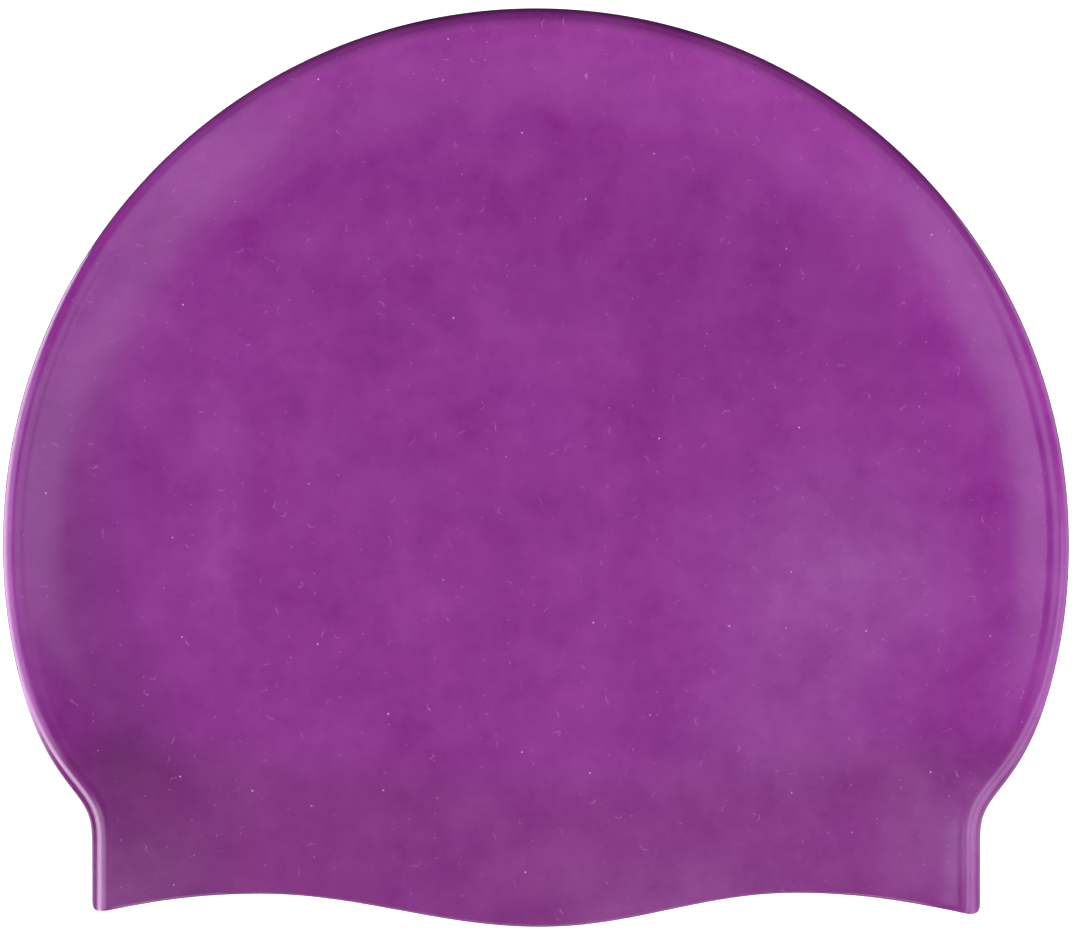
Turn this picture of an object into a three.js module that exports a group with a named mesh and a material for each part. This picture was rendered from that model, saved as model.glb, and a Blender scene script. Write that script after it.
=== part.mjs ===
// A swim cap: one moulding of silicone rubber, lying flat as it comes out of the mould.
// Two thin panels meet in a thick rounded bead that runs from one end of the hem over the crown to the
// other, with a narrow rib along its middle. The mouth is the wavy hem, which dips over the ear.
// Millimetres, +Z up. The crown points to +Y, the mouth opens to -Y, and the lower panel lies on z = 0.
import * as THREE from "three";

// Overall sizes
const CAP_WIDTH = 220; // across the dome, over the ribs
const CAP_LENGTH = 188.8; // from the crown to the lowest point of the hem
const CAP_HEIGHT = 16; // from the table to the flat of the upper panel
const MOUTH_WIDTH = 183.4; // across the neck, over the ribs
const NECK_LENGTH = 15.7; // straight part of the neck above the ends of the hem
const CHEEK_LENGTH = 1.5; // straight stretch at the widest place, under the half circle of the dome

// Hem
const HEM_WAVE = 7; // from the lowest point of the hem to its highest
const HEM_CORNER_RADIUS = 1.4; // the rib's rounded end

// Walls
const PANEL_WALL = 1;
const SHOULDER_WALL = 1.3; // under the inner edge of the bead
const BEAD_WALL = 2; // through the bead at mid height, without the rib

// Bead and rib
const BEAD_REACH = 3.8; // inwards from the edge of the body
const BEAD_HALF_HEIGHT = 4;
const RIB_REACH = 1.2; // outwards from the edge of the body
const RIB_HALF_HEIGHT = 1.1;

// Panels
const SHOULDER_WIDTH = 22; // slope between the bead and the flat of the panel
const NECK_SHOULDER_WIDTH = 12;
const NECK_DROP = 1.4; // how much lower the upper panel lies over the neck
const NECK_DROP_WIDTH = 20; // how long that step is
const NECK_DROP_START = 4; // how far above the neck it starts

// Outline of the hip, the curve between the dome and the neck
const HIP_START = 12; // degrees past the widest place
const HIP_LEAVES = 0.71; // shares of the hip's chord: how long the curve holds to the dome
const HIP_MEETS = 0.28; // and to the neck

// Turning points of the hem: shares of half the mouth's width and of the hem's wave
const HEM_TURNS = [
  { across: -1, up: 0.29 },
  { across: -0.61, up: 0.97 },
  { across: 0.01, up: 0 },
  { across: 0.58, up: 1 },
  { across: 1, up: 0.2 },
];

// Soft folds of the upper panel: shares of the dome's radius from its centre, and of the wall
const SOFT_FOLDS = [
  { across: 0.5, along: -0.1, halfWidth: 0.24, halfLength: 0.26, up: 0.9 },
  { across: 0.86, along: -0.04, halfWidth: 0.07, halfLength: 0.3, up: -0.4 },
  { across: -0.55, along: 0.0, halfWidth: 0.08, halfLength: 0.3, up: 0.5 },
  { across: -0.44, along: 0.4, halfWidth: 0.05, halfLength: 0.13, up: 0.35 },
  { across: -0.82, along: 0.05, halfWidth: 0.06, halfLength: 0.32, up: -0.4 },
  { across: 0.1, along: -0.5, halfWidth: 0.3, halfLength: 0.07, up: -0.35 },
];

// Faces
const BEAD_STEPS = 4; // from the shoulder to the rib
const RIB_STEPS = 3; // from the rib's root to its ridge
const HEM_STEPS = 24;
const SHOULDER_ROWS = [0, 0.12, 0.28, 0.5, 0.75, 1]; // shares of the shoulder's width
const FLAT_ROWS = [0.22, 0.46, 0.72]; // shares of the way from the shoulder to the dome's centre
const OUTLINE_SAMPLES = 40; // points on each curve of the outline that distances are taken to

// Sizes that follow
const middle = CAP_HEIGHT / 2;
const bodyRadius = CAP_WIDTH / 2 - RIB_REACH;
const bodyNeck = MOUTH_WIDTH / 2 - RIB_REACH;
const crownY = CAP_LENGTH / 2 - RIB_REACH;
const centre = new THREE.Vector2(0, crownY - bodyRadius);
const hemLowest = -CAP_LENGTH / 2;
const shoulderRise = middle - BEAD_HALF_HEIGHT;

function mix(a, b, share) {
  return a + (b - a) * share;
}

function smooth(low, high, value) {
  return THREE.MathUtils.smoothstep(value, low, high);
}

// Height of the hem at x. It turns softly at each inner row and runs straight out at its ends.
function hemY(x) {
  const half = MOUTH_WIDTH / 2;
  const across = THREE.MathUtils.clamp(x / half, -1, 1);
  const last = HEM_TURNS.length - 1;
  const next = Math.max(1, HEM_TURNS.findIndex((turn) => turn.across >= across));
  const [from, to] = [HEM_TURNS[next - 1], HEM_TURNS[next]];
  const share = (across - from.across) / (to.across - from.across);
  const turning = (1 - Math.cos(Math.PI * share)) / 2;
  const ease = next === 1 ? 1 - (1 - share) ** 2 : next === last ? share ** 2 : turning;
  const intoCorner = Math.max(0, Math.abs(x) - (half - HEM_CORNER_RADIUS));
  const reach = Math.min(intoCorner, HEM_CORNER_RADIUS);
  const corner = HEM_CORNER_RADIUS - Math.sqrt(HEM_CORNER_RADIUS ** 2 - reach ** 2);
  return hemLowest + HEM_WAVE * mix(from.up, to.up, ease) + corner;
}

// The body's edge without the rib, from the left end of the hem over the crown to the right end, as
// curves that each take their own number of faces.
function outlineCurves() {
  const start = THREE.MathUtils.degToRad(HIP_START);
  const cheekY = centre.y - CHEEK_LENGTH;
  const hipEnd = new THREE.Vector2(
    bodyRadius * Math.cos(start),
    cheekY - bodyRadius * Math.sin(start),
  );
  const rightHemY = hemY(bodyNeck);
  const leftHemY = hemY(-bodyNeck);
  const neckTopY = Math.max(rightHemY, leftHemY) + NECK_LENGTH;
  const neckTop = new THREE.Vector2(bodyNeck, neckTopY);
  const chord = hipEnd.distanceTo(neckTop);
  const leaves = new THREE.Vector2(-Math.sin(start), -Math.cos(start))
    .multiplyScalar(HIP_LEAVES * chord)
    .add(hipEnd);
  const meets = new THREE.Vector2(bodyNeck, neckTopY + HIP_MEETS * chord);
  const left = (point) => new THREE.Vector2(-point.x, point.y);
  const arc = (y, from, to) =>
    new THREE.EllipseCurve(0, y, bodyRadius, bodyRadius, from, to, true);
  const line = (x, y0, y1) =>
    new THREE.LineCurve(new THREE.Vector2(x, y0), new THREE.Vector2(x, y1));
  return [
    { curve: line(-bodyNeck, leftHemY, neckTopY), spans: 3 },
    {
      curve: new THREE.CubicBezierCurve(left(neckTop), left(meets), left(leaves), left(hipEnd)),
      spans: 8,
    },
    { curve: arc(cheekY, Math.PI + start, Math.PI), spans: 2 },
    { curve: line(-bodyRadius, cheekY, centre.y), spans: 1 },
    { curve: arc(centre.y, Math.PI, 0), spans: 36 },
    { curve: line(bodyRadius, centre.y, cheekY), spans: 1 },
    { curve: arc(cheekY, 0, -start), spans: 2 },
    { curve: new THREE.CubicBezierCurve(hipEnd, leaves, meets, neckTop), spans: 8 },
    { curve: line(bodyNeck, neckTopY, rightHemY), spans: 3 },
  ];
}

// Points on the body's edge, each with the direction inwards.
function stationsAlong(curves, spansOf) {
  const stations = [];
  curves.forEach(({ curve, spans }, order) => {
    const count = spansOf(spans);
    for (let step = order === 0 ? 0 : 1; step <= count; step++) {
      const tangent = curve.getTangentAt(step / count);
      stations.push({
        at: curve.getPointAt(step / count),
        inwards: new THREE.Vector2(tangent.y, -tangent.x),
      });
    }
  });
  return stations;
}

const curves = outlineCurves();
const stations = stationsAlong(curves, (spans) => spans);
const neckTopY = curves[0].curve.v2.y;
const shoulderEdge = stationsAlong(curves, () => OUTLINE_SAMPLES).map(({ at, inwards }) =>
  at.clone().addScaledVector(inwards, BEAD_REACH),
);

// How far a point of a panel lies inside the bead.
function insideBead(x, y) {
  return Math.min(...shoulderEdge.map((edge) => Math.hypot(edge.x - x, edge.y - y)));
}

// Share of the shoulder's rise that is reached at a point: steepest at the bead, level at the flat.
function shoulderShare(x, y) {
  const overNeck = smooth(neckTopY + NECK_DROP_START + NECK_DROP_WIDTH, neckTopY, y);
  const neckward = y < neckTopY ? 1 : overNeck;
  const width = mix(SHOULDER_WIDTH, NECK_SHOULDER_WIDTH, neckward);
  const share = Math.min(1, insideBead(x, y) / width);
  return 1 - (1 - share) ** 2;
}

function softFold(x, y) {
  let sum = 0;
  for (const fold of SOFT_FOLDS) {
    const across = (x - fold.across * bodyRadius) / (fold.halfWidth * bodyRadius);
    const along = (y - centre.y - fold.along * bodyRadius) / (fold.halfLength * bodyRadius);
    sum += fold.up * PANEL_WALL * Math.exp(-(across ** 2) - along ** 2);
  }
  return sum;
}

// Outer faces of the two panels.
function upperZ(x, y) {
  const share = shoulderShare(x, y);
  const dropStart = neckTopY + NECK_DROP_START;
  const drop = NECK_DROP * (1 - smooth(dropStart, dropStart + NECK_DROP_WIDTH, y));
  return middle + BEAD_HALF_HEIGHT + (shoulderRise - drop + softFold(x, y)) * share;
}

function lowerZ(x, y) {
  return middle - BEAD_HALF_HEIGHT - shoulderRise * shoulderShare(x, y);
}

// The bead's section from the upper shoulder round the rib to the lower one. Each row holds the outer
// and the inner face as a distance inwards from the body's edge and a height over mid height.
function beadSection() {
  const rows = [];
  const root = Math.asin(RIB_HALF_HEIGHT / BEAD_HALF_HEIGHT);
  const rootIn = BEAD_REACH * (1 - Math.cos(root));
  for (let step = 0; step <= BEAD_STEPS; step++) {
    const angle = mix(Math.PI / 2, root, step / BEAD_STEPS);
    rows.push({ inwards: BEAD_REACH * (1 - Math.cos(angle)), up: BEAD_HALF_HEIGHT * Math.sin(angle) });
  }
  for (let step = 1; step <= RIB_STEPS; step++) {
    const angle = (Math.PI / 2) * (step / RIB_STEPS);
    rows.push({
      inwards: rootIn - (rootIn + RIB_REACH) * Math.sin(angle),
      up: RIB_HALF_HEIGHT * Math.cos(angle),
    });
  }
  const below = rows.slice(0, -1).reverse();
  rows.push(...below.map((row) => ({ inwards: row.inwards, up: -row.up })));
  const innerHalfHeight = BEAD_HALF_HEIGHT - SHOULDER_WALL;
  return rows.map((row, order) => {
    const angle = mix(Math.PI / 2, -Math.PI / 2, order / (rows.length - 1));
    return {
      outer: row,
      inner: {
        inwards: BEAD_REACH - (BEAD_REACH - BEAD_WALL) * Math.cos(angle),
        up: innerHalfHeight * Math.sin(angle),
      },
    };
  });
}

// Points of the ring where the panels start: along the bead, then back along the hem from right to left.
function panelEdge() {
  const edge = stations.map((station) => stationPoint(station, BEAD_REACH));
  const right = edge[edge.length - 1].x;
  const left = edge[0].x;
  for (let step = 1; step < HEM_STEPS; step++) {
    const x = mix(right, left, step / HEM_STEPS);
    edge.push(new THREE.Vector2(x, hemY(x)));
  }
  return edge;
}

// A point a distance inside the body's edge. At the two ends it follows the hem.
function stationPoint(station, inwards) {
  const point = station.at.clone().addScaledVector(station.inwards, inwards);
  const atHem = station === stations[0] || station === stations[stations.length - 1];
  return atHem ? point.setY(hemY(point.x)) : point;
}

// Collects points and faces of the closed surface.
const points = [];
const faces = [];

function addPoint(x, y, z) {
  points.push(x, y, z);
  return points.length / 3 - 1;
}

// Two rows of points joined by faces. A closed row ends where it starts.
function joinRows(first, second, closed, turned) {
  const count = closed ? first.length : first.length - 1;
  for (let i = 0; i < count; i++) {
    const j = (i + 1) % first.length;
    const quad = [first[i], first[j], second[j], second[i]];
    if (turned) quad.reverse();
    faces.push(quad[0], quad[1], quad[2], quad[0], quad[2], quad[3]);
  }
}

// One panel face as rings of points that close in on the dome's centre. The ring that lies on the bead
// comes first.
function addPanel(edge, zAt, turned) {
  const rings = [];
  const ringAt = (pointOn) =>
    edge.map((start) => {
      const point = pointOn(start);
      return addPoint(point.x, point.y, zAt(point.x, point.y));
    });
  const shoulderOn = (start, share) => {
    const way = centre.clone().sub(start).normalize();
    return start.clone().addScaledVector(way, share * SHOULDER_WIDTH);
  };
  SHOULDER_ROWS.forEach((share) => rings.push(ringAt((start) => shoulderOn(start, share))));
  FLAT_ROWS.forEach((share) =>
    rings.push(ringAt((start) => shoulderOn(start, 1).lerp(centre, share))),
  );
  for (let i = 1; i < rings.length; i++) joinRows(rings[i - 1], rings[i], true, turned);
  const middlePoint = addPoint(centre.x, centre.y, zAt(centre.x, centre.y));
  const last = rings[rings.length - 1];
  last.forEach((point, i) => {
    const next = last[(i + 1) % last.length];
    faces.push(...(turned ? [middlePoint, next, point] : [point, next, middlePoint]));
  });
  return rings[0];
}

// One side of the wall, outer or inner: two panels and the bead between them. Gives back the loop of
// points round the mouth.
function addSide(side, upperAt, lowerAt, turned) {
  const edge = panelEdge();
  const upper = addPanel(edge, upperAt, !turned);
  const lower = addPanel(edge, lowerAt, turned);
  const section = beadSection();
  const bead = section.slice(1, -1).map((row) =>
    stations.map((station) => {
      const point = stationPoint(station, row[side].inwards);
      return addPoint(point.x, point.y, middle + row[side].up);
    }),
  );
  const rows = [upper.slice(0, stations.length), ...bead, lower.slice(0, stations.length)];
  for (let i = 1; i < rows.length; i++) joinRows(rows[i - 1], rows[i], false, turned);
  const hem = (ring) => [...ring.slice(stations.length - 1), ring[0]];
  const leftEnd = bead.map((row) => row[0]);
  const rightEnd = bead.map((row) => row[row.length - 1]).reverse();
  return [...hem(upper), ...leftEnd, ...hem(lower).reverse(), ...rightEnd];
}

function capGeometry() {
  const outerMouth = addSide("outer", upperZ, lowerZ, false);
  const wallAt = (x, y) => {
    const thinning = Math.min(1, insideBead(x, y) / (SHOULDER_ROWS[1] * SHOULDER_WIDTH));
    return mix(SHOULDER_WALL, PANEL_WALL, thinning);
  };
  const innerMouth = addSide(
    "inner",
    (x, y) => upperZ(x, y) - wallAt(x, y),
    (x, y) => lowerZ(x, y) + wallAt(x, y),
    true,
  );
  joinRows(outerMouth, innerMouth, true, false);
  const geometry = new THREE.BufferGeometry();
  geometry.setAttribute("position", new THREE.Float32BufferAttribute(points, 3));
  geometry.setIndex(faces);
  geometry.computeVertexNormals();
  return geometry;
}

const silicone = new THREE.MeshStandardMaterial({ color: 0x8f388f, roughness: 0.4, metalness: 0 });
const cap = new THREE.Mesh(capGeometry(), silicone);
cap.name = "cap";

const swimCap = new THREE.Group();
swimCap.add(cap);

export default swimCap;
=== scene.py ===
# %% [markdown]
# # A silicone swim cap, lying flat
# A swim cap is moulded in one shot of silicone rubber. Two thin panels meet in a thick rounded bead that runs
# over the crown from one end of the hem to the other. This lesson models it the way such a mould is cut: one
# cross-section is swept along the outline, the panels are filled in from its inner edge, and the whole skin
# is given an inside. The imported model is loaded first, so every size has something to agree with.

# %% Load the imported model
import math

import bmesh
import bpy
from mathutils import Matrix, Vector, geometry, kdtree, noise


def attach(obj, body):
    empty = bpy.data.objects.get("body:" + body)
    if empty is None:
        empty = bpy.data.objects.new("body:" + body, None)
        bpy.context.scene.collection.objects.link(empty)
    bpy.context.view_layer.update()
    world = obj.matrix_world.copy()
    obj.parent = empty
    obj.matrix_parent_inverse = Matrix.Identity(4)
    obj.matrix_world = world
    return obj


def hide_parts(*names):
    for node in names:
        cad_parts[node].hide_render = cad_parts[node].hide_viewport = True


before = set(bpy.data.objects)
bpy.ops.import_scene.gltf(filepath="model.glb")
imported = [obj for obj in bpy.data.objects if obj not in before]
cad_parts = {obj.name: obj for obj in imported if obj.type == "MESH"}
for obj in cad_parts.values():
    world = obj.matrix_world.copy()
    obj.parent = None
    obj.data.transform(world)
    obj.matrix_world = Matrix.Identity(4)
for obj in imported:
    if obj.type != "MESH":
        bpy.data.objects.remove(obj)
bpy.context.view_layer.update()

# %% [markdown]
# ## Sizes
# All sizes are in millimetres until the last step, because a mould maker thinks in them. They are the same
# ones that the solid model was built from. Heights are counted from the parting plane, half way up the bead.

# %% Sizes
CAP_WIDTH = 220.0
CAP_LENGTH = 188.8
CAP_HEIGHT = 16.0
MOUTH_WIDTH = 183.4
NECK_LENGTH = 15.7
CHEEK_LENGTH = 1.5

HEM_WAVE = 7.0
HEM_CORNER_RADIUS = 1.6
# (share of half the mouth's width, share of the hem's wave)
HEM_TURNS = [(-1.0, 0.29), (-0.61, 0.97), (0.01, 0.0), (0.58, 1.0), (1.0, 0.20)]

BEAD_REACH = 3.8
BEAD_HALF_HEIGHT = 4.0
RIB_REACH = 1.2

PANEL_WALL = 1.0
SHOULDER_WALL = 1.3
BEAD_WALL = 2.0

SHOULDER_WIDTH = 22.0
NECK_SHOULDER_WIDTH = 12.0
LEFT_NECK_SHOULDER_WIDTH = 40.0
NECK_DROP = 1.4
NECK_DROP_WIDTH = 20.0
NECK_DROP_START = 4.0

HIP_START = math.radians(12)
HIP_LEAVES = 0.71
HIP_MEETS = 0.28

SAME_ROW = 1e-4  # two heights this close belong to the same row
NEAR = 1e-3  # two places this close are the same for a choice of edges
SIDE_MERGE = 0.01  # left and right meet in vertices this close
RIDGE_MERGE = 0.001  # upper and lower half meet in vertices this close

middle = CAP_HEIGHT / 2
body_radius = CAP_WIDTH / 2 - RIB_REACH
body_neck = MOUTH_WIDTH / 2 - RIB_REACH
centre = Vector((0, CAP_LENGTH / 2 - RIB_REACH - body_radius, 0))
hem_lowest = -CAP_LENGTH / 2
shoulder_rise = middle - BEAD_HALF_HEIGHT
print(f"body radius {body_radius:.1f} mm, dome centre at y {centre.y:.1f} mm")

# %% [markdown]
# ## The hem's wave
# The mouth is trimmed in a soft wave: it is cut high over the brow and the nape and dips low in the middle to
# cover the ear. Each half wave is half a cosine, and the last stretch to each end runs out straight. The
# corner is rounded, because the trimming knife leaves the bead's end soft.

# %% Hem height at a place across the mouth
def smooth_step(low, high, value):
    share = min(1.0, max(0.0, (value - low) / (high - low)))
    return share * share * (3 - 2 * share)


def hem_y(x):
    half = MOUTH_WIDTH / 2
    across = max(-1.0, min(1.0, x / half))
    nearest = next(i for i in range(1, len(HEM_TURNS)) if HEM_TURNS[i][0] >= across)
    (x0, up0), (x1, up1) = HEM_TURNS[nearest - 1], HEM_TURNS[nearest]
    share = (across - x0) / (x1 - x0)
    if nearest == 1:
        share = 1 - (1 - share) ** 2
    elif nearest == len(HEM_TURNS) - 1:
        share = share ** 2
    else:
        share = (1 - math.cos(math.pi * share)) / 2
    into_corner = min(HEM_CORNER_RADIUS, max(0.0, abs(x) - (half - HEM_CORNER_RADIUS)))
    corner = HEM_CORNER_RADIUS - math.sqrt(HEM_CORNER_RADIUS ** 2 - into_corner ** 2)
    return hem_lowest + HEM_WAVE * (up0 + (up1 - up0) * share) + corner


corner_y = max(hem_y(body_neck), hem_y(-body_neck))
neck_top = corner_y + NECK_LENGTH
print(f"hem between y {hem_lowest:.1f} and {hem_lowest + HEM_WAVE:.1f} mm")
print(f"neck starts at y {neck_top:.1f} mm")

# %% [markdown]
# ## The path of the edge
# The dome is a half circle, so it can be spun. Below it the edge runs straight for a moment, goes on round
# for a few degrees, swings through the hip and ends in the straight neck. Those stretches are a list of
# places with a heading, along which the section is extruded step by step.

# %% Path below the dome, on the right side
HIP_STEPS = 14
CHEEK_STEPS = 6
NECK_STOPS = (0.16, 0.33, 0.5, 0.67, 0.82, 0.93, 1.0)

cheek = Vector((0, centre.y - CHEEK_LENGTH, 0))
hip_start = cheek + body_radius * Vector((math.cos(HIP_START), -math.sin(HIP_START), 0))
hip_end = Vector((body_neck, neck_top, 0))
chord = (hip_end - hip_start).length
hip = geometry.interpolate_bezier(
    hip_start,
    hip_start + HIP_LEAVES * chord * Vector((-math.sin(HIP_START), -math.cos(HIP_START), 0)),
    hip_end + Vector((0, HIP_MEETS * chord, 0)),
    hip_end,
    HIP_STEPS + 1,
)

path = [(Vector((body_radius, centre.y, 0)), 0.0)]
for step in range(CHEEK_STEPS + 1):
    angle = HIP_START * step / CHEEK_STEPS
    path.append((cheek + body_radius * Vector((math.cos(angle), -math.sin(angle), 0)), -angle))
for before, here, after in zip(hip, hip[1:], hip[2:] + [hip[-1] - Vector((0, 1, 0))]):
    way = after - before
    path.append((here, -math.atan2(-way.x, -way.y)))
for stop in NECK_STOPS:
    path.append((hip_end.lerp(Vector((body_neck, hem_lowest, 0)), stop), 0.0))
print(f"path of {len(path)} places, hip chord {chord:.1f} mm")

# %% [markdown]
# ## The cross-section
# From the ridge of the rib the section rounds over the bead to a crease, where the shoulder of the panel
# starts. Only its upper half is drawn, because the lower half is its mirror image. Each row is a distance
# inwards from the body's edge and a height. The inner face of the wall has as many rows, so that the two can
# be bridged at the mouth later.

# %% Rows of the section
BEAD_ANGLES = [math.radians(a) for a in (0, 8, 16, 24, 31, 38, 47, 57, 68, 79, 90)]
SHOULDER_STOPS = (0.025, 0.08, 0.17, 0.28, 0.41, 0.56, 0.72, 0.87, 1.0)

outer_rows = []
for angle in BEAD_ANGLES:
    reach = BEAD_REACH + RIB_REACH
    outer_rows.append((BEAD_REACH - reach * math.cos(angle), BEAD_HALF_HEIGHT * math.sin(angle)))
inner_rows = []
for order in range(len(BEAD_ANGLES)):
    angle = math.pi / 2 * order / (len(BEAD_ANGLES) - 1)
    reach = BEAD_REACH - BEAD_WALL
    height = (BEAD_HALF_HEIGHT - SHOULDER_WALL) * math.sin(angle)
    inner_rows.append((BEAD_REACH - reach * math.cos(angle), height))
for stop in SHOULDER_STOPS:
    rise = shoulder_rise * (1 - (1 - stop) ** 2)
    outer_rows.append((BEAD_REACH + stop * SHOULDER_WIDTH, BEAD_HALF_HEIGHT + rise))
    inner_rows.append((BEAD_REACH + stop * SHOULDER_WIDTH, BEAD_HALF_HEIGHT - SHOULDER_WALL + rise))
print(f"section of {len(outer_rows)} rows, {outer_rows[-1][0]:.1f} mm deep")

# %% [markdown]
# ## One quarter of a skin
# The section starts as a chain of vertices at the crown. Spin carries it round a quarter of the dome to the
# right cheek, and from there each step is an extrude, a turn and a move, as when a baker pipes icing. Mirror
# then gives the left side. Sweeping keeps the bead's highlight clean, because its edges follow the outline.

# %% Sweep the section and fill the panel
DOME_STEPS = 48
HEM_STEPS = DOME_STEPS  # as many as the part of the crown that the panel's grid runs to
PANEL_MARGIN = 0.993  # a first narrow row inside the shoulder, so the grid starts smoothly


def new_ones(made, kind):
    return [item for item in made if isinstance(item, kind)]


def extrude_chain(bm, edges):
    made = bmesh.ops.extrude_edge_only(bm, edges=edges)["geom"]
    verts = new_ones(made, bmesh.types.BMVert)
    fresh = set(verts)
    return verts, [e for e in new_ones(made, bmesh.types.BMEdge) if set(e.verts) <= fresh]


def quarter_skin(bm, rows):
    chain = [bm.verts.new((0, centre.y + body_radius - inwards, up)) for inwards, up in rows]
    links = [bm.edges.new(pair) for pair in zip(chain, chain[1:])]
    spun = bmesh.ops.spin(bm, geom=chain + links, cent=centre, axis=(0, 0, 1), angle=-math.pi / 2,
                          steps=DOME_STEPS, use_merge=False)
    edges = new_ones(spun["geom_last"], bmesh.types.BMEdge)
    for (here, heading), (there, next_heading) in zip(path, path[1:]):
        verts, edges = extrude_chain(bm, edges)
        turn = Matrix.Rotation(next_heading - heading, 3, "Z")
        bmesh.ops.rotate(bm, verts=verts, cent=here, matrix=turn)
        bmesh.ops.translate(bm, verts=verts, vec=there - here)


def fill_panel(bm, rows):
    top = rows[-1][1]
    rim = [e for e in bm.edges if e.is_boundary and all(abs(v.co.z - top) < SAME_ROW for v in e.verts)]
    corners = [v for e in rim for v in e.verts if v.co.y < hem_lowest + NEAR]
    hem = bm.edges.new(corners)
    cut = bmesh.ops.subdivide_edges(bm, edges=[hem], cuts=HEM_STEPS - 1)
    ring = rim + [e for e in new_ones(cut["geom"], bmesh.types.BMEdge) if e.is_wire]
    verts, edges = extrude_chain(bm, ring)
    bmesh.ops.scale(bm, verts=verts, vec=(PANEL_MARGIN, PANEL_MARGIN, 1), space=Matrix.Translation(-centre))
    crown = [e for e in edges if all(v.co.y - centre.y > abs(v.co.x) - NEAR for v in e.verts)]
    lowest = min(v.co.y for v in verts)
    brow_to_nape = [e for e in edges if all(v.co.y < lowest + NEAR for v in e.verts)]
    filled = bmesh.ops.grid_fill(bm, edges=crown + brow_to_nape)
    print(f"panel of {len(filled['faces'])} faces between {len(crown)} and {len(brow_to_nape)} edges")


def half_skin(rows):
    bm = bmesh.new()
    quarter_skin(bm, rows)
    bmesh.ops.mirror(bm, geom=bm.verts[:] + bm.edges[:] + bm.faces[:], merge_dist=SIDE_MERGE, axis="X")
    fill_panel(bm, rows)
    return bm


outer = half_skin(outer_rows)
inner = half_skin(inner_rows)
print("faces of the half skins:", len(outer.faces), len(inner.faces))

# %% [markdown]
# ## Rib, groove and hem
# Over the dome the rib flows into the bead, but from the hip down a groove sets it off: there the mould's
# parting line stands proud. Because each row of the section has its own height, the groove can be pressed in
# row by row. The hem is then pulled to its wave: every place below the top of the neck slides with it.

# %% Press the groove and pull the hem
GROOVE_STARTS = -42.0
GROOVE_FULL = neck_top + 8
GROOVED = (  # bead row, inwards and height with the groove fully pressed in
    (1, -1.12, 0.50),
    (2, -0.80, 0.90),
    (3, -0.15, 1.08),
    (4, 0.18, 1.25),
    (5, 0.42, 1.80),
    (6, 0.85, 2.50),
    (7, 1.45, 3.10),
    (8, 2.20, 3.62),
    (9, 2.95, 3.90),
)


def tree_of(places):
    tree = kdtree.KDTree(len(places))
    for order, place in enumerate(places):
        tree.insert((place.x, place.y, 0), order)
    tree.balance()
    return tree


def crease_of(bm):
    return tree_of([v.co for v in bm.verts if abs(v.co.z - BEAD_HALF_HEIGHT) < SAME_ROW])


crease_tree = crease_of(outer)


def press_groove(bm):
    for order, inwards, up in GROOVED:
        old_inwards, old_up = outer_rows[order]
        for vert in [v for v in bm.verts if abs(v.co.z - old_up) < SAME_ROW]:
            place, _, _ = crease_tree.find((vert.co.x, vert.co.y, 0))
            way = Vector((place.x - vert.co.x, place.y - vert.co.y, 0)).normalized()
            share = smooth_step(GROOVE_STARTS, GROOVE_FULL, vert.co.y)
            vert.co += way * (inwards - old_inwards) * share
            vert.co.z += (up - old_up) * share


def pull_hem(bm):
    for vert in bm.verts:
        if vert.co.y < neck_top:
            share = (neck_top - vert.co.y) / (neck_top - hem_lowest)
            vert.co.y = neck_top - share * (neck_top - hem_y(vert.co.x))


press_groove(outer)
pull_hem(outer)
pull_hem(inner)
print(f"groove pressed into {len(GROOVED)} rows")

# %% [markdown]
# ## Heights of the panels
# A moulded cap is never flat: the upper panel rises in a shoulder from the bead, lies low over the neck, and
# has soft folds from the way it was laid down. The height at each place is worked out from its distance to
# the crease, so the shoulder keeps its width round the hip, where the outline turns. Slow noise adds the
# slack that thin rubber always has. The crease is looked up again first, because the hem has moved its ends.

# %% Height functions
# over the crown the bead is part of a wider ellipse and meets the shoulder without a crease
SOFT_REACH = 9.6
SOFT_HEIGHT = 4.9
CROWN_FADES = [(10, 40), (165, 115)]  # degrees round from the right: where the soft crown starts, and is full
# (across, along, half width, half length) in mm from the dome's centre, and height in mm
SOFT_FOLDS = [
    (54.0, -11.0, 26.0, 28.0, 0.9),
    (93.5, -4.0, 7.5, 33.0, -0.4),
    (-60.0, 0.0, 9.0, 33.0, 0.5),
    (-48.0, 43.0, 5.5, 14.0, 0.35),
    (-88.0, -2.0, 15.0, 42.0, -1.3),
    (-80.0, -58.0, 22.0, 17.0, -1.3),
    (-40.0, -70.0, 18.0, 22.0, 0.7),
    (84.0, -60.0, 18.0, 15.0, -0.6),
    (11.0, -54.0, 33.0, 7.5, -0.35),
]
SLACK = [(0.35, 31, 3), (0.10, 12, 9)]  # height and spacing of the slack in mm, and the noise's own layer
crease_tree = crease_of(outer)


drop_ends = neck_top + NECK_DROP_START + NECK_DROP_WIDTH


def inside_crease(x, y):
    return crease_tree.find((x, y, 0))[2]


def shoulder_share(x, y):
    neckward = smooth_step(drop_ends, neck_top, y)
    neck_width = NECK_SHOULDER_WIDTH if x > 0 else LEFT_NECK_SHOULDER_WIDTH
    width = SHOULDER_WIDTH + (neck_width - SHOULDER_WIDTH) * neckward
    share = min(1.0, inside_crease(x, y) / width)
    return 1 - (1 - share) ** 2


def fold_height(x, y):
    total = 0.0
    for across, along, half_width, half_length, up in SOFT_FOLDS:
        u = (x - across) / half_width
        v = (y - centre.y - along) / half_length
        total += up * math.exp(-u * u - v * v)
    return total


def slack(x, y):
    return sum(up * noise.noise(Vector((x, y, layer)) / spacing) for up, spacing, layer in SLACK)


def crown_share(x, y):
    azimuth = math.degrees(math.atan2(y - centre.y, x))
    return math.prod(smooth_step(start, full, azimuth) for start, full in CROWN_FADES)


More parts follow.
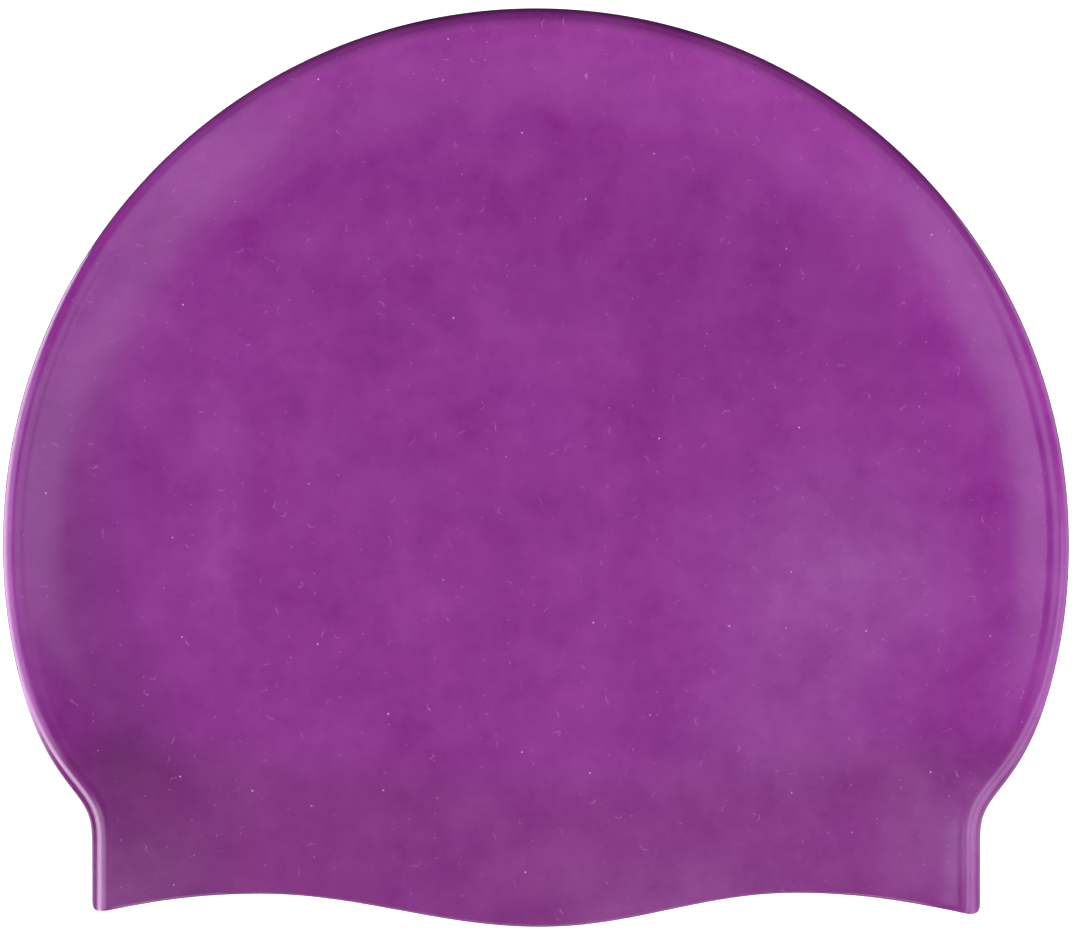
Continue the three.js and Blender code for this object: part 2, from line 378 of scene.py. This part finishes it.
def soft_bead(in_from_rim):
    return SOFT_HEIGHT * math.sqrt(1 - (1 - max(0.0, in_from_rim) / SOFT_REACH) ** 2)


def crease_lift(x, y):
    return (soft_bead(BEAD_REACH + RIB_REACH) - BEAD_HALF_HEIGHT) * crown_share(x, y)


def upper_height(x, y):
    share = shoulder_share(x, y)
    drop = NECK_DROP * smooth_step(drop_ends, neck_top + NECK_DROP_START, y)
    raised = (shoulder_rise - drop + fold_height(x, y)) * share
    return BEAD_HALF_HEIGHT + crease_lift(x, y) * (1 - share) + raised + slack(x, y) * share


def lower_height(x, y):
    share = shoulder_share(x, y)
    return -BEAD_HALF_HEIGHT - crease_lift(x, y) * (1 - share) - shoulder_rise * share


print(f"panel at the dome's centre: {upper_height(0, centre.y):.2f} mm over the parting plane")

# %% [markdown]
# ## Both halves and the inside
# Mirror turns the upper half into the lower one and joins the two along the ridge of the rib. The panels are
# then set to their heights. The same is done for the inner face, one wall thickness further in, and its faces
# are turned, because they look into the hollow. Bridging the two mouths closes the skin to a solid wall.

# %% Close the wall
THICK_FADE = 3.0  # the wall thins from the shoulder's thickness to the panel's over this width


def whole_skin(bm, wall, crease_height):
    panel = [v for v in bm.verts if v.co.z > crease_height + SAME_ROW]
    bmesh.ops.mirror(bm, geom=bm.verts[:] + bm.edges[:] + bm.faces[:], merge_dist=RIDGE_MERGE, axis="Z")
    for vert in bm.verts:
        x, y, z = vert.co
        if abs(z) > crease_height + SAME_ROW:
            extra = (SHOULDER_WALL - PANEL_WALL) * max(0.0, 1 - inside_crease(x, y) / THICK_FADE)
            thick = wall + extra if wall else 0
            vert.co.z = upper_height(x, y) - thick if z > 0 else lower_height(x, y) + thick
    bmesh.ops.recalc_face_normals(bm, faces=bm.faces)
    print(f"skin of {len(bm.faces)} faces, {len(panel)} places in its upper panel")


def soften_crease(bm):
    for vert in bm.verts:
        x, y, z = vert.co
        share = crown_share(x, y)
        if share > 0 and abs(z) <= BEAD_HALF_HEIGHT + SAME_ROW:
            soft = soft_bead(BEAD_REACH + RIB_REACH - inside_crease(x, y))
            vert.co.z += math.copysign((soft - abs(z)) * share, z)


def add_to(bm, other):
    mesh = bpy.data.meshes.new("part of the wall")
    other.to_mesh(mesh)
    bm.from_mesh(mesh)
    bpy.data.meshes.remove(mesh)


whole_skin(outer, 0.0, BEAD_HALF_HEIGHT)
soften_crease(outer)
whole_skin(inner, PANEL_WALL, BEAD_HALF_HEIGHT - SHOULDER_WALL)
wall = bmesh.new()
add_to(wall, outer)
add_to(wall, inner)
mouths = [e for e in wall.edges if e.is_boundary]
lip = bmesh.ops.bridge_loops(wall, edges=mouths)
print(f"mouth of {len(mouths)} edges bridged by {len(lip['faces'])} faces")

# %% Round the lip
LIP_BULGE = 0.22

across = [e for f in lip["faces"] for e in f.edges if e not in set(mouths)]
split = bmesh.ops.subdivide_edges(wall, edges=list(dict.fromkeys(across)), cuts=1)
for vert in new_ones(split["geom_inner"], bmesh.types.BMVert):
    vert.co.y -= LIP_BULGE
bmesh.ops.recalc_face_normals(wall, faces=wall.faces)
print(f"closed: {all(e.is_manifold for e in wall.edges)}, volume {wall.calc_volume() / 1000:.1f} cubic cm")

# %% [markdown]
# ## Painted shade and light on the vertices
# Two numbers are written on each vertex, so that the colour follows the shape instead of a picture. `body`,
# by which the colour is multiplied, carries painted shade and painted light: the bead is darkened over the
# crown as painted shade and paled at its sides as painted light, a thin dark line of painted shade runs along
# the outline, and soft patches of painted shade and painted light lie on the panel. `in_band`, from 0 to 1,
# makes the colour darker and greyer towards the mouth.

# %% Painted shade and light marks on the vertices
BEAD_DEPTH = 4.0  # mm in from the silhouette that the bead's painted shade and painted light reach
OUTLINE_SHADE_WIDTH = 0.6  # a thin darker line along the outline, painted shade at the cap's edge
OUTLINE_SHADE_DEEP = 0.6
# degrees round from the right, and the share of painted shade that makes the bead deeper in colour over the
# crown (less than 0: painted light, paler at the sides)
BEAD_SHADE_AND_LIGHT = [
    (-180, -0.25), (-145, -0.3), (-120, -0.2), (-60, -0.1), (-35, -0.2), (-10, 0.0), (15, 0.05),
    (45, 0.68), (75, 0.86), (105, 0.86), (135, 0.34), (160, -0.1), (180, -0.25),
]
# (x, y) in mm along the upper edge of the band
BAND_EDGE = [(-110, -50.0), (-69, -52.5), (-30, -57.5), (5, -60.5), (35, -57.5), (69, -52.5), (110, -49.0)]
BAND_FADE = 11.0
BAND_WAVER = 2.0  # the band's edge isn't quite even
BAND_WAVER_SPACING = 14
# x, y, half width, half length in mm, and the share of painted shade by which the colour is deeper (less than
# 0: painted light, paler)
SHADE_AND_LIGHT_PATCHES = [
    (-86.0, -51.0, 11.0, 17.0, 0.21),
    (-84.0, -61.0, 9.0, 9.0, 0.10),
    (-93.0, -17.0, 8.0, 25.0, 0.18),
    (-100.0, -10.0, 8.0, 45.0, 0.07),
    (-76.0, -79.0, 25.0, 15.0, 0.20),
    (-55.0, -79.0, 14.0, 9.0, -0.07),
    (93.0, -48.0, 11.0, 18.0, 0.06),
    (79.0, -63.0, 8.0, 14.0, 0.07),
    (34.0, 45.0, 30.0, 20.0, 0.09),
    (0.0, 60.0, 22.0, 10.0, 0.04),
    (63.0, 36.0, 11.0, 14.0, 0.06),
    (38.0, 14.0, 14.0, 12.0, 0.06),
    (40.0, -74.0, 30.0, 12.0, -0.05),
    (-65.0, -14.0, 7.0, 26.0, -0.09),
    (56.0, -29.0, 26.0, 20.0, -0.08),
    (84.0, 42.0, 8.0, 20.0, -0.05),
    (60.0, 62.0, 14.0, 10.0, -0.05),
    (28.0, 73.0, 26.0, 9.0, -0.07),
    (-2.0, 10.0, 26.0, 13.0, -0.04),
    (-36.0, 36.0, 16.0, 10.0, 0.05),
]


def from_table(rows, at):
    for (x0, y0), (x1, y1) in zip(rows, rows[1:]):
        if x0 <= at <= x1:
            return y0 + (y1 - y0) * (at - x0) / (x1 - x0)
    return rows[0][1]


# painted shade and painted light in soft patches over the panel
def painted_panel_shade_and_light(x, y):
    tone = 1.0
    for across, along, half_width, half_length, deeper in SHADE_AND_LIGHT_PATCHES:
        tone -= deeper * math.exp(-((x - across) / half_width) ** 2 - ((y - along) / half_length) ** 2)
    return tone


for mark in ("in_band", "body"):
    wall.verts.layers.float.new(mark)
in_band, body = (wall.verts.layers.float[mark] for mark in ("in_band", "body"))
for vert in wall.verts:
    x, y, z = vert.co
    edge, _, away = crease_tree.find((x, y, 0))
    past_crease = (Vector((x, y, 0)) - centre).length > (edge - centre).length
    outwards = past_crease or abs(z) < BEAD_HALF_HEIGHT - NEAR
    inwards = BEAD_REACH + RIB_REACH + (-away if outwards else away)
    turn = math.degrees(math.atan2(y - centre.y, x))
    in_bead = min(1.0, max(0.0, 1 - inwards / BEAD_DEPTH))
    # painted shade: a thin dark line at the very edge of the outline
    outline_shade = OUTLINE_SHADE_DEEP * smooth_step(OUTLINE_SHADE_WIDTH, 0.0, inwards)
    # painted shade and light: panel patches, the bead's shade over the crown and light at its sides, a dark
    # outline
    vert[body] = painted_panel_shade_and_light(x, y) * (1 - from_table(BEAD_SHADE_AND_LIGHT, turn) * in_bead) * (1 - outline_shade)
    waver = BAND_WAVER * noise.noise(Vector((x, y, 0)) / BAND_WAVER_SPACING)
    vert[in_band] = smooth_step(0, BAND_FADE, from_table(BAND_EDGE, x) + waver - y)
tones = [v[body] for v in wall.verts]
print("places marked in the band:", sum(1 for v in wall.verts if v[in_band] > 0))
print(f"the colour is multiplied by {min(tones):.2f} to {max(tones):.2f}")

# %% [markdown]
# ## The finished piece
# The wall is scaled to metres, set on the table and smoothed with one level of subdivision, which rounds the
# lip and the rib as the mould's polish does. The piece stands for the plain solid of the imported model.

# %% Make the object
MM = 0.001  # a millimetre in metres

for vert in wall.verts:
    vert.co.z += middle
bmesh.ops.scale(wall, verts=wall.verts, vec=(MM, MM, MM))
cap_mesh = bpy.data.meshes.new("cap_skin")
wall.to_mesh(cap_mesh)
for bm in (outer, inner, wall):
    bm.free()
cap_mesh.polygons.foreach_set("use_smooth", [True] * len(cap_mesh.polygons))
cap = bpy.data.objects.new("cap_skin", cap_mesh)
bpy.context.scene.collection.objects.link(cap)
rounding = cap.modifiers.new("rounding", "SUBSURF")
rounding.levels = 1
rounding.render_levels = 1
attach(cap, "root")
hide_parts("cap")
print(f"cap skin: {len(cap_mesh.polygons)} faces before rounding")

# %% [markdown]
# ## Silicone rubber
# Silicone rubber is cast with its pigment stirred in, in a mould that was polished and then lightly blasted.
# So the skin is satin: its gloss is weak, because its index of refraction is only 1.41, but its reflections
# stay soft-edged shapes. The pigment clouds a little. The colours and helpers come first.

# %% Colour and node helpers
def linear(hex_colour):
    channels = [int(hex_colour[i:i + 2], 16) / 255 for i in (1, 3, 5)]
    return [c / 12.92 if c <= 0.04045 else ((c + 0.055) / 1.055) ** 2.4 for c in channels] + [1.0]


def add_node(tree, kind, settings=None, inputs=None):
    """Add a node; an input is named, or numbered where names repeat, and takes a socket or a value."""
    node = tree.nodes.new(kind)
    for name, value in (settings or {}).items():
        setattr(node, name, value)
    for name, value in (inputs or {}).items():
        named = [s for s in node.inputs if s.enabled and s.name == name]
        socket = named[0] if named else node.inputs[name]
        if isinstance(value, bpy.types.NodeSocket):
            tree.links.new(value, socket)
        else:
            socket.default_value = value
    return node


def first_output(node):
    return next(socket for socket in node.outputs if socket.enabled)


PANEL_DARK = "#6b156a"
PANEL_PALE = "#7e2d7c"
BAND_TINT = "#f0ffe9"  # what the band leaves of the panel's red, green and blue
SPECK_PINK = "#c58ccb"
SPECK_PALE = "#e9c4ea"
SPECK_DARK = "#3a0f42"
# painted sheen: a pale colour that stands in for the lamps' gloss on the panel
PAINTED_SHEEN = "#b4aec4"
print("linear purples:", [[round(c, 3) for c in linear(h)] for h in (PANEL_DARK, PANEL_PALE)])

# %% Silicone: clouded pigment
silicone = bpy.data.materials.new("moulded satin silicone rubber")
silicone.use_nodes = True
tree = silicone.node_tree
tree.nodes.clear()
coords = add_node(tree, "ShaderNodeTexCoord")
place = coords.outputs["Object"]

CLOUD_MM = 17.0
MOTTLE_MM = 3.2
MOTTLE_SHARE = 0.2
NOISE_LOW, NOISE_HIGH = 0.3, 0.7  # nearly all of a noise texture lies between these
clouds = first_output(add_node(tree, "ShaderNodeTexNoise", {}, {
    "Vector": place, "Scale": 1000 / CLOUD_MM, "Detail": 6, "Roughness": 0.68}))
mottle = first_output(add_node(tree, "ShaderNodeTexNoise", {}, {
    "Vector": place, "Scale": 1000 / MOTTLE_MM, "Detail": 3, "Roughness": 0.7}))
both = first_output(add_node(tree, "ShaderNodeMix", {}, {
    "Factor": MOTTLE_SHARE, "A": clouds, "B": mottle}))
cloudy = first_output(add_node(tree, "ShaderNodeMapRange", {}, {
    "Value": both, "From Min": NOISE_LOW, "From Max": NOISE_HIGH}))
colour = first_output(add_node(tree, "ShaderNodeMix", {"data_type": "RGBA"}, {
    "Factor": cloudy, "A": linear(PANEL_DARK), "B": linear(PANEL_PALE)}))
print("clouds every", CLOUD_MM, "mm and mottling every", MOTTLE_MM, "mm")

# %% [markdown]
# ## Painted shade, light and sheen
# The `body` mark, which carries the painted shade and painted light, is multiplied into the colour, and
# `in_band` brings in the band's tint. A faint pale painted sheen lies where the lamps' gloss falls on the
# panel, and takes a little of the purple away. Each patch of it is a soft round gradient, placed in
# millimetres on the panel and broken up by the same clouds.

# %% Silicone: band, painted shade and light, and painted sheen
SHEEN_BREAK = (0.65, 1.35)  # the clouds thin the painted sheen out to the first share and thicken it to the second
# the body mark carries the painted shade and painted light into the colour
painted_shade_and_light = add_node(tree, "ShaderNodeAttribute", {"attribute_name": "body"}).outputs["Fac"]
colour = first_output(add_node(tree, "ShaderNodeVectorMath", {"operation": "SCALE"}, {
    "Vector": colour, "Scale": painted_shade_and_light}))
in_band_amount = add_node(tree, "ShaderNodeAttribute", {"attribute_name": "in_band"}).outputs["Fac"]
colour = first_output(add_node(tree, "ShaderNodeMix", {"data_type": "RGBA", "blend_type": "MULTIPLY"}, {
    "Factor": in_band_amount, "A": colour, "B": linear(BAND_TINT)}))

PAINTED_SHEEN_PATCHES = [  # x, y, half width, half length in mm, and strength of the painted sheen
    (61.0, -22.0, 36.0, 30.0, 0.065),
    (50.0, -54.0, 30.0, 24.0, 0.04),
    (-65.0, -12.0, 9.0, 36.0, 0.02),
    (-50.0, 42.0, 7.0, 16.0, 0.015),
    (86.0, -77.0, 20.0, 23.0, 0.055),
    (30.0, -88.0, 50.0, 20.0, 0.035),
    (-84.0, -86.0, 24.0, 15.0, 0.04),
]
for x, y, half_width, half_length, strength in PAINTED_SHEEN_PATCHES:
    spot = first_output(add_node(tree, "ShaderNodeMapping", {"vector_type": "TEXTURE"}, {
        "Vector": place, "Location": (x / 1000, y / 1000, 0),
        "Scale": (half_width / 1000, half_length / 1000, 1)}))
    soft = add_node(tree, "ShaderNodeTexGradient", {"gradient_type": "SPHERICAL"}, {"Vector": spot})
    broken = first_output(add_node(tree, "ShaderNodeMapRange", {}, {
        "Value": cloudy, "To Min": SHEEN_BREAK[0] * strength, "To Max": SHEEN_BREAK[1] * strength}))
    amount = first_output(add_node(tree, "ShaderNodeMath", {"operation": "MULTIPLY"}, {
        0: soft.outputs["Fac"], 1: broken}))
    colour = first_output(add_node(tree, "ShaderNodeMix", {"data_type": "RGBA"}, {
        "Factor": amount, "A": colour, "B": linear(PAINTED_SHEEN)}))
print("bloom patches:", len(PAINTED_SHEEN_PATCHES))

# %% [markdown]
# ## Dust and lint
# Rubber draws dust. A Voronoi texture splits the panel into cells, and each cell gets one speck where its
# point lies, if the cell's random colour lets it. A lint hair is drawn the same way: the place is counted
# from the cell's point, turned by a random angle and bent into a parabola, and what lies close to that curve
# is hair. The mask keeps both off the steep sides, where such a flat pattern would smear.

# %% Silicone: specks of dust
FLAT_FROM, FLAT_FULL = 0.8, 0.93  # how far upright the surface looks where dust starts, and lies freely
SPECK_CORE = 0.3  # the middle of a speck that is fully there, as a share of its radius
SPECK_SHIFT = (0.31, 0.17)  # moves each kind's cells, so that they don't line up
SPECKS = [  # spacing and radius in mm, share of the cells that stay empty, colour, strength
    (5.0, 0.20, 0.55, SPECK_PINK, 0.35),
    (14.0, 0.23, 0.60, SPECK_PALE, 0.6),
    (9.0, 0.24, 0.60, SPECK_DARK, 0.45),
]

normal_up = add_node(tree, "ShaderNodeSeparateXYZ", {}, {"Vector": coords.outputs["Normal"]}).outputs["Z"]
steepness = first_output(add_node(tree, "ShaderNodeMath", {"operation": "ABSOLUTE"}, {0: normal_up}))
flat = first_output(add_node(tree, "ShaderNodeMapRange", {}, {
    "Value": steepness, "From Min": FLAT_FROM, "From Max": FLAT_FULL}))
for order, (spacing, radius, empty, tint, strength) in enumerate(SPECKS):
    moved = first_output(add_node(tree, "ShaderNodeMapping", {}, {
        "Vector": place, "Location": (SPECK_SHIFT[0] * order, SPECK_SHIFT[1] * order, 0)}))
    cells = add_node(tree, "ShaderNodeTexVoronoi", {"voronoi_dimensions": "2D"}, {
        "Vector": moved, "Scale": 1000 / spacing})
    pick = add_node(tree, "ShaderNodeSeparateColor", {}, {"Color": cells.outputs["Color"]})
    amount = first_output(add_node(tree, "ShaderNodeMapRange", {}, {
        "Value": cells.outputs["Distance"],
        "From Min": radius / spacing, "From Max": SPECK_CORE * radius / spacing}))
    kept = first_output(add_node(tree, "ShaderNodeMapRange", {}, {
        "Value": pick.outputs["Red"], "From Min": empty, "To Max": strength}))
    for other in (kept, flat):
        amount = first_output(add_node(tree, "ShaderNodeMath", {"operation": "MULTIPLY"}, {
            0: amount, 1: other}))
    colour = first_output(add_node(tree, "ShaderNodeMix", {"data_type": "RGBA"}, {
        "Factor": amount, "A": colour, "B": linear(tint)}))
print("kinds of speck:", len(SPECKS))

# %% Silicone: curled lint
LINT_SPACING = 9.0
LINT_HALF_WIDTH = 0.12  # a real hair is a tenth of this, but it would be lost between the picture's pixels
LINT_HALF_LENGTH = 1.0
LINT_CURL = 1.6
LINT_BOW = 700.0  # how strongly the parabola bends, per metre
LINT_CORE = 0.4  # the middle of a hair that is fully there, as a share of its width and length
LINT_STRENGTH = 0.26
LINT_EMPTY = (0.55, 0.65)  # share of the cells without a hair, once for each layer of hairs
LINT_SHIFT = (0.5, 0.8)

ripple = add_node(tree, "ShaderNodeTexNoise", {}, {"Vector": place, "Scale": 900, "Detail": 1})
shaken = first_output(add_node(tree, "ShaderNodeVectorMath", {"operation": "MULTIPLY_ADD"}, {
    0: ripple.outputs["Color"], 1: (LINT_CURL / 1000,) * 3, 2: place}))
for order, empty in enumerate(LINT_EMPTY):
    shift = (LINT_SHIFT[0] * order, LINT_SHIFT[1], 0)
    moved, bent = (first_output(add_node(tree, "ShaderNodeMapping", {}, {
        "Vector": source, "Location": shift})) for source in (place, shaken))
    cells = add_node(tree, "ShaderNodeTexVoronoi", {"voronoi_dimensions": "2D"}, {
        "Vector": moved, "Scale": 1000 / LINT_SPACING})
    pick = add_node(tree, "ShaderNodeSeparateColor", {}, {"Color": cells.outputs["Color"]})
    own = first_output(add_node(tree, "ShaderNodeVectorMath", {"operation": "SUBTRACT"}, {
        0: bent, 1: cells.outputs["Position"]}))
    angle = first_output(add_node(tree, "ShaderNodeMapRange", {}, {
        "Value": pick.outputs["Red"], "To Max": 2 * math.pi}))
    turned = first_output(add_node(tree, "ShaderNodeVectorRotate", {"rotation_type": "Z_AXIS"}, {
        "Vector": own, "Angle": angle}))
    axes = add_node(tree, "ShaderNodeSeparateXYZ", {}, {"Vector": turned})
    squared = first_output(add_node(tree, "ShaderNodeMath", {"operation": "POWER"}, {
        0: axes.outputs["X"], 1: 2.0}))
    curl = first_output(add_node(tree, "ShaderNodeMapRange", {}, {
        "Value": pick.outputs["Green"], "To Min": -LINT_BOW, "To Max": LINT_BOW}))
    bow = first_output(add_node(tree, "ShaderNodeMath", {"operation": "MULTIPLY"}, {0: squared, 1: curl}))
    off = first_output(add_node(tree, "ShaderNodeMath", {"operation": "SUBTRACT"}, {
        0: axes.outputs["Y"], 1: bow}))
    amount = first_output(add_node(tree, "ShaderNodeMapRange", {}, {
        "Value": pick.outputs["Blue"], "From Min": empty, "To Max": LINT_STRENGTH}))
    for source, reach in ((off, LINT_HALF_WIDTH), (axes.outputs["X"], LINT_HALF_LENGTH)):
        size = first_output(add_node(tree, "ShaderNodeMath", {"operation": "ABSOLUTE"}, {0: source}))
        near = first_output(add_node(tree, "ShaderNodeMapRange", {}, {
            "Value": size, "From Min": reach / 1000, "From Max": LINT_CORE * reach / 1000}))
        amount = first_output(add_node(tree, "ShaderNodeMath", {"operation": "MULTIPLY"}, {
            0: amount, 1: near}))
    amount = first_output(add_node(tree, "ShaderNodeMath", {"operation": "MULTIPLY"}, {0: amount, 1: flat}))
    colour = first_output(add_node(tree, "ShaderNodeMix", {"data_type": "RGBA"}, {
        "Factor": amount, "A": colour, "B": linear(SPECK_PINK)}))
print("lint every", LINT_SPACING, "mm")

# %% [markdown]
# ## The satin skin
# The film on the rubber makes the gloss a little uneven, so the clouds move the roughness too. Two bumps lie
# on top: the slack of thin rubber, a few millimetres wide, and the grain that blasting left in the mould. The
# real grain is about 0.05 mm and would not show, so it is drawn at 0.7 mm and very shallow.

# %% Silicone: gloss and skin
SILICONE_IOR = 1.41
SATIN_LOW, SATIN_HIGH = 0.19, 0.27  # roughness in the clearest and in the cloudiest places
BUMPS = [("slack", 6.0, 0.06), ("grain", 0.7, 0.006)]  # spacing and depth in mm

satin = first_output(add_node(tree, "ShaderNodeMapRange", {}, {
    "Value": clouds, "From Min": NOISE_LOW, "From Max": NOISE_HIGH,
    "To Min": SATIN_LOW, "To Max": SATIN_HIGH}))
normal = None
for name, spacing, depth in BUMPS:
    height = first_output(add_node(tree, "ShaderNodeTexNoise", {}, {
        "Vector": place, "Scale": 1000 / spacing, "Detail": 2}))
    settings = {"Height": height, "Strength": 1.0, "Distance": depth / 1000}
    if normal is not None:
        settings["Normal"] = normal
    normal = first_output(add_node(tree, "ShaderNodeBump", {}, settings))
    print(f"{name} bump: {depth} mm deep, every {spacing} mm")
skin = add_node(tree, "ShaderNodeBsdfPrincipled", {}, {
    "Base Color": colour, "Roughness": satin, "Normal": normal, "IOR": SILICONE_IOR})
add_node(tree, "ShaderNodeOutputMaterial", {}, {"Surface": skin.outputs["BSDF"]})
cap.data.materials.append(silicone)
print("silicone made of", len(tree.nodes), "nodes")

# %% [markdown]
# ## Table, light and camera
# The cap lies on a plain white table that only the camera sees, because the gloss would mirror it as one flat
# white. The bead mirrors what lies just under the table instead: a dark cloth with a glowing card at either
# side. So each side of the rim gets its own pale line, and the dark gap between card and cap draws the
# outline, as a photographer does with black card round a glass.

# %% Table and cloth
TABLE_SIZE = 6
TABLE_DROP, CARD_DROP, CLOTH_DROP = 0.0002, 0.0003, 0.0004  # m under the cap, in the order they lie


def plain_material(name, settings):
    """A material with one shader, whose named inputs are set to numbers or colours."""
    material = bpy.data.materials.new(name)
    material.use_nodes = True
    for socket, value in settings.items():
        material.node_tree.nodes["Principled BSDF"].inputs[socket].default_value = value
    return material


def sheet(name, drop, material):
    bpy.ops.mesh.primitive_plane_add(size=TABLE_SIZE, location=(0, 0, -drop))
    flat_piece = bpy.context.object
    flat_piece.name = name
    flat_piece.data.materials.append(material)
    return flat_piece


# the paper glows a little, so that it stays white where the lamps don't reach it
table = sheet("table", TABLE_DROP, plain_material("white paper", {
    "Base Color": linear("#f6f6f6"), "Roughness": 0.9,
    "Emission Color": linear("#ffffff"), "Emission Strength": 0.5}))
table.visible_glossy = False
table.visible_diffuse = False
cloth = sheet("dark_cloth", CLOTH_DROP, plain_material("black velvet", {
    "Base Color": linear("#4c4c4c"), "Roughness": 1.0, "Specular IOR Level": 0.0}))
print(f"table and cloth, {TABLE_SIZE} m across")

# %% Glowing cards
CARD_INNER = 0.1185  # m; the cards leave a dark gap round the cap, which draws its outline
CARD_OUTER = 0.46
CARD_SIDE = 0.03  # m from the middle line, where a card begins
CARD_LOWEST = -0.13
CARD_EDGES = 96
# name, side, highest place in m, strength of the glow
CARDS = [("left_card", -1, 0.05, 4.6), ("right_card", 1, 0.06, 1.2)]

for name, side, highest, glow in CARDS:
    ring = bmesh.new()
    bmesh.ops.create_circle(ring, segments=CARD_EDGES, radius=CARD_INNER)
    wider, _ = extrude_chain(ring, ring.edges[:])
    bmesh.ops.scale(ring, verts=wider, vec=(CARD_OUTER / CARD_INNER, CARD_OUTER / CARD_INNER, 1))
    bmesh.ops.translate(ring, verts=ring.verts[:], vec=(0, centre.y / 1000, -CARD_DROP))
    cuts = [  # a place on the cut and the side that is cut away
        ((CARD_SIDE * side, 0, 0), (-side, 0, 0)),
        ((0, highest, 0), (0, 1, 0)),
        ((0, CARD_LOWEST, 0), (0, -1, 0)),
    ]
    for spot, facing in cuts:
        bmesh.ops.bisect_plane(ring, geom=ring.verts[:] + ring.edges[:] + ring.faces[:],
                               plane_co=spot, plane_no=facing, clear_outer=True)
    bmesh.ops.recalc_face_normals(ring, faces=ring.faces)
    card_mesh = bpy.data.meshes.new(name)
    ring.to_mesh(card_mesh)
    ring.free()
    card = bpy.data.objects.new(name, card_mesh)
    bpy.context.scene.collection.objects.link(card)
    card_mesh.materials.append(plain_material(name.replace("_", " "), {
        "Base Color": linear("#101010"), "Emission Color": linear("#ffffff"), "Emission Strength": glow}))
    print(f"{name}: {len(card_mesh.polygons)} faces, glow {glow}")

# %% [markdown]
# ## Lights
# Wide walls of light left and right, and strips behind, shape the shoulders. The gloss doesn't mirror them,
# because the flat panel would turn white in them when it is seen from a low angle. Two low strips that it
# does mirror give the rim its gleam, and the boxes higher up give the folds their soft shine.

# %% Lights
LAMP_DISTANCE = 0.9
LAMP_WHITE = "#ffffff"
DAYLIGHT = "#eff8ff"  # the lamps at the sides are a little bluer


def soft_box(name, azimuth, elevation, width, height, power, colour, mirrored):
    a, e = math.radians(azimuth), math.radians(elevation)
    way = Vector((math.cos(a) * math.cos(e), math.sin(a) * math.cos(e), math.sin(e)))
    lamp = bpy.data.lights.new(name, "AREA")
    lamp.shape = "RECTANGLE"
    lamp.size, lamp.size_y = width, height
    lamp.energy = power
    box = bpy.data.objects.new(name, lamp)
    box.location = way * LAMP_DISTANCE
    box.rotation_euler = way.to_track_quat("Z", "Y").to_euler()
    lamp.color = linear(colour)[:3]
    box.visible_glossy = mirrored
    bpy.context.scene.collection.objects.link(box)
    print(f"{name}: {power} W at {azimuth} degrees round, {elevation} up")


# name, degrees round and up, width and height in m, watts, colour, whether the gloss mirrors it
SOFT_BOXES = [
    ("left wall", 186, 13, 0.8, 0.46, 4.3, DAYLIGHT, False),
    ("right wall", 334, 16, 1.2, 0.48, 7.7, DAYLIGHT, False),
    ("left low strip", 188, 12, 0.8, 0.3, 2.3, DAYLIGHT, True),
    ("right low strip", 328, 12, 1.1, 0.3, 3.2, DAYLIGHT, True),
    ("left soft box", 176, 49, 0.36, 0.42, 1.1, DAYLIGHT, True),
    ("left back soft box", 142, 46, 0.34, 0.36, 0.66, DAYLIGHT, True),
    ("right soft box", 13, 43, 0.66, 0.34, 1.75, DAYLIGHT, True),
    ("back soft box", 90, 58, 1.1, 0.5, 1.15, LAMP_WHITE, True),
    ("front soft box", 270, 43, 0.6, 0.34, 3.6, LAMP_WHITE, True),
    ("overhead box", 270, 78, 0.9, 0.6, 0.65, LAMP_WHITE, True),
    ("right back strip", 58, 10, 0.8, 0.3, 8.6, LAMP_WHITE, False),
    ("left back strip", 118, 11, 0.8, 0.3, 5.6, LAMP_WHITE, False),
]
for row in SOFT_BOXES:
    soft_box(*row)

# %% Room
ROOM_LIGHT = 0.16
BACKDROP = "#dcdcdc"  # a pale wall, which only the camera sees where it looks past the table

world = bpy.data.worlds.new("dim room")
bpy.context.scene.world = world
world.use_nodes = True
air = world.node_tree
air.nodes.clear()
dim = add_node(air, "ShaderNodeBackground", {}, {"Color": linear("#ffffff"), "Strength": ROOM_LIGHT})
pale = add_node(air, "ShaderNodeBackground", {}, {"Color": linear(BACKDROP), "Strength": 1.0})
seen = add_node(air, "ShaderNodeLightPath").outputs["Is Camera Ray"]
backdrop = add_node(air, "ShaderNodeMixShader", {}, {0: seen, 1: dim.outputs[0], 2: pale.outputs[0]})
add_node(air, "ShaderNodeOutputWorld", {}, {"Surface": backdrop.outputs[0]})
print("a dim room of strength", ROOM_LIGHT, "with a backdrop of", BACKDROP)

# %% [markdown]
# ## Camera
# The camera looks straight down through a long lens, so the outline isn't bent. Its distance follows from the
# real width of the cap and the width that it has in the picture.

# %% Camera
PICTURE_WIDTH = 1080  # pixels, as are all places in the picture
PICTURE_MIDDLE = (540, 466)
CAP_MIDDLE = (536, 465.5)
CAP_PIXELS = 1066
SENSOR_WIDTH = 36  # mm
LENS = 135.0

mm_per_pixel = CAP_WIDTH / CAP_PIXELS
frame_width = PICTURE_WIDTH * mm_per_pixel / 1000
camera_data = bpy.data.cameras.new("camera")
camera_data.lens = LENS
camera_data.sensor_width = SENSOR_WIDTH
camera = bpy.data.objects.new("camera", camera_data)
look_x = (PICTURE_MIDDLE[0] - CAP_MIDDLE[0]) * mm_per_pixel / 1000
look_y = (CAP_MIDDLE[1] - PICTURE_MIDDLE[1]) * mm_per_pixel / 1000
camera.location = (look_x, look_y, middle / 1000 + LENS / SENSOR_WIDTH * frame_width)
bpy.context.scene.collection.objects.link(camera)
bpy.context.scene.camera = camera
bpy.context.scene.view_settings.view_transform = "Standard"
print(f"camera {camera.location.z:.3f} m over the table")
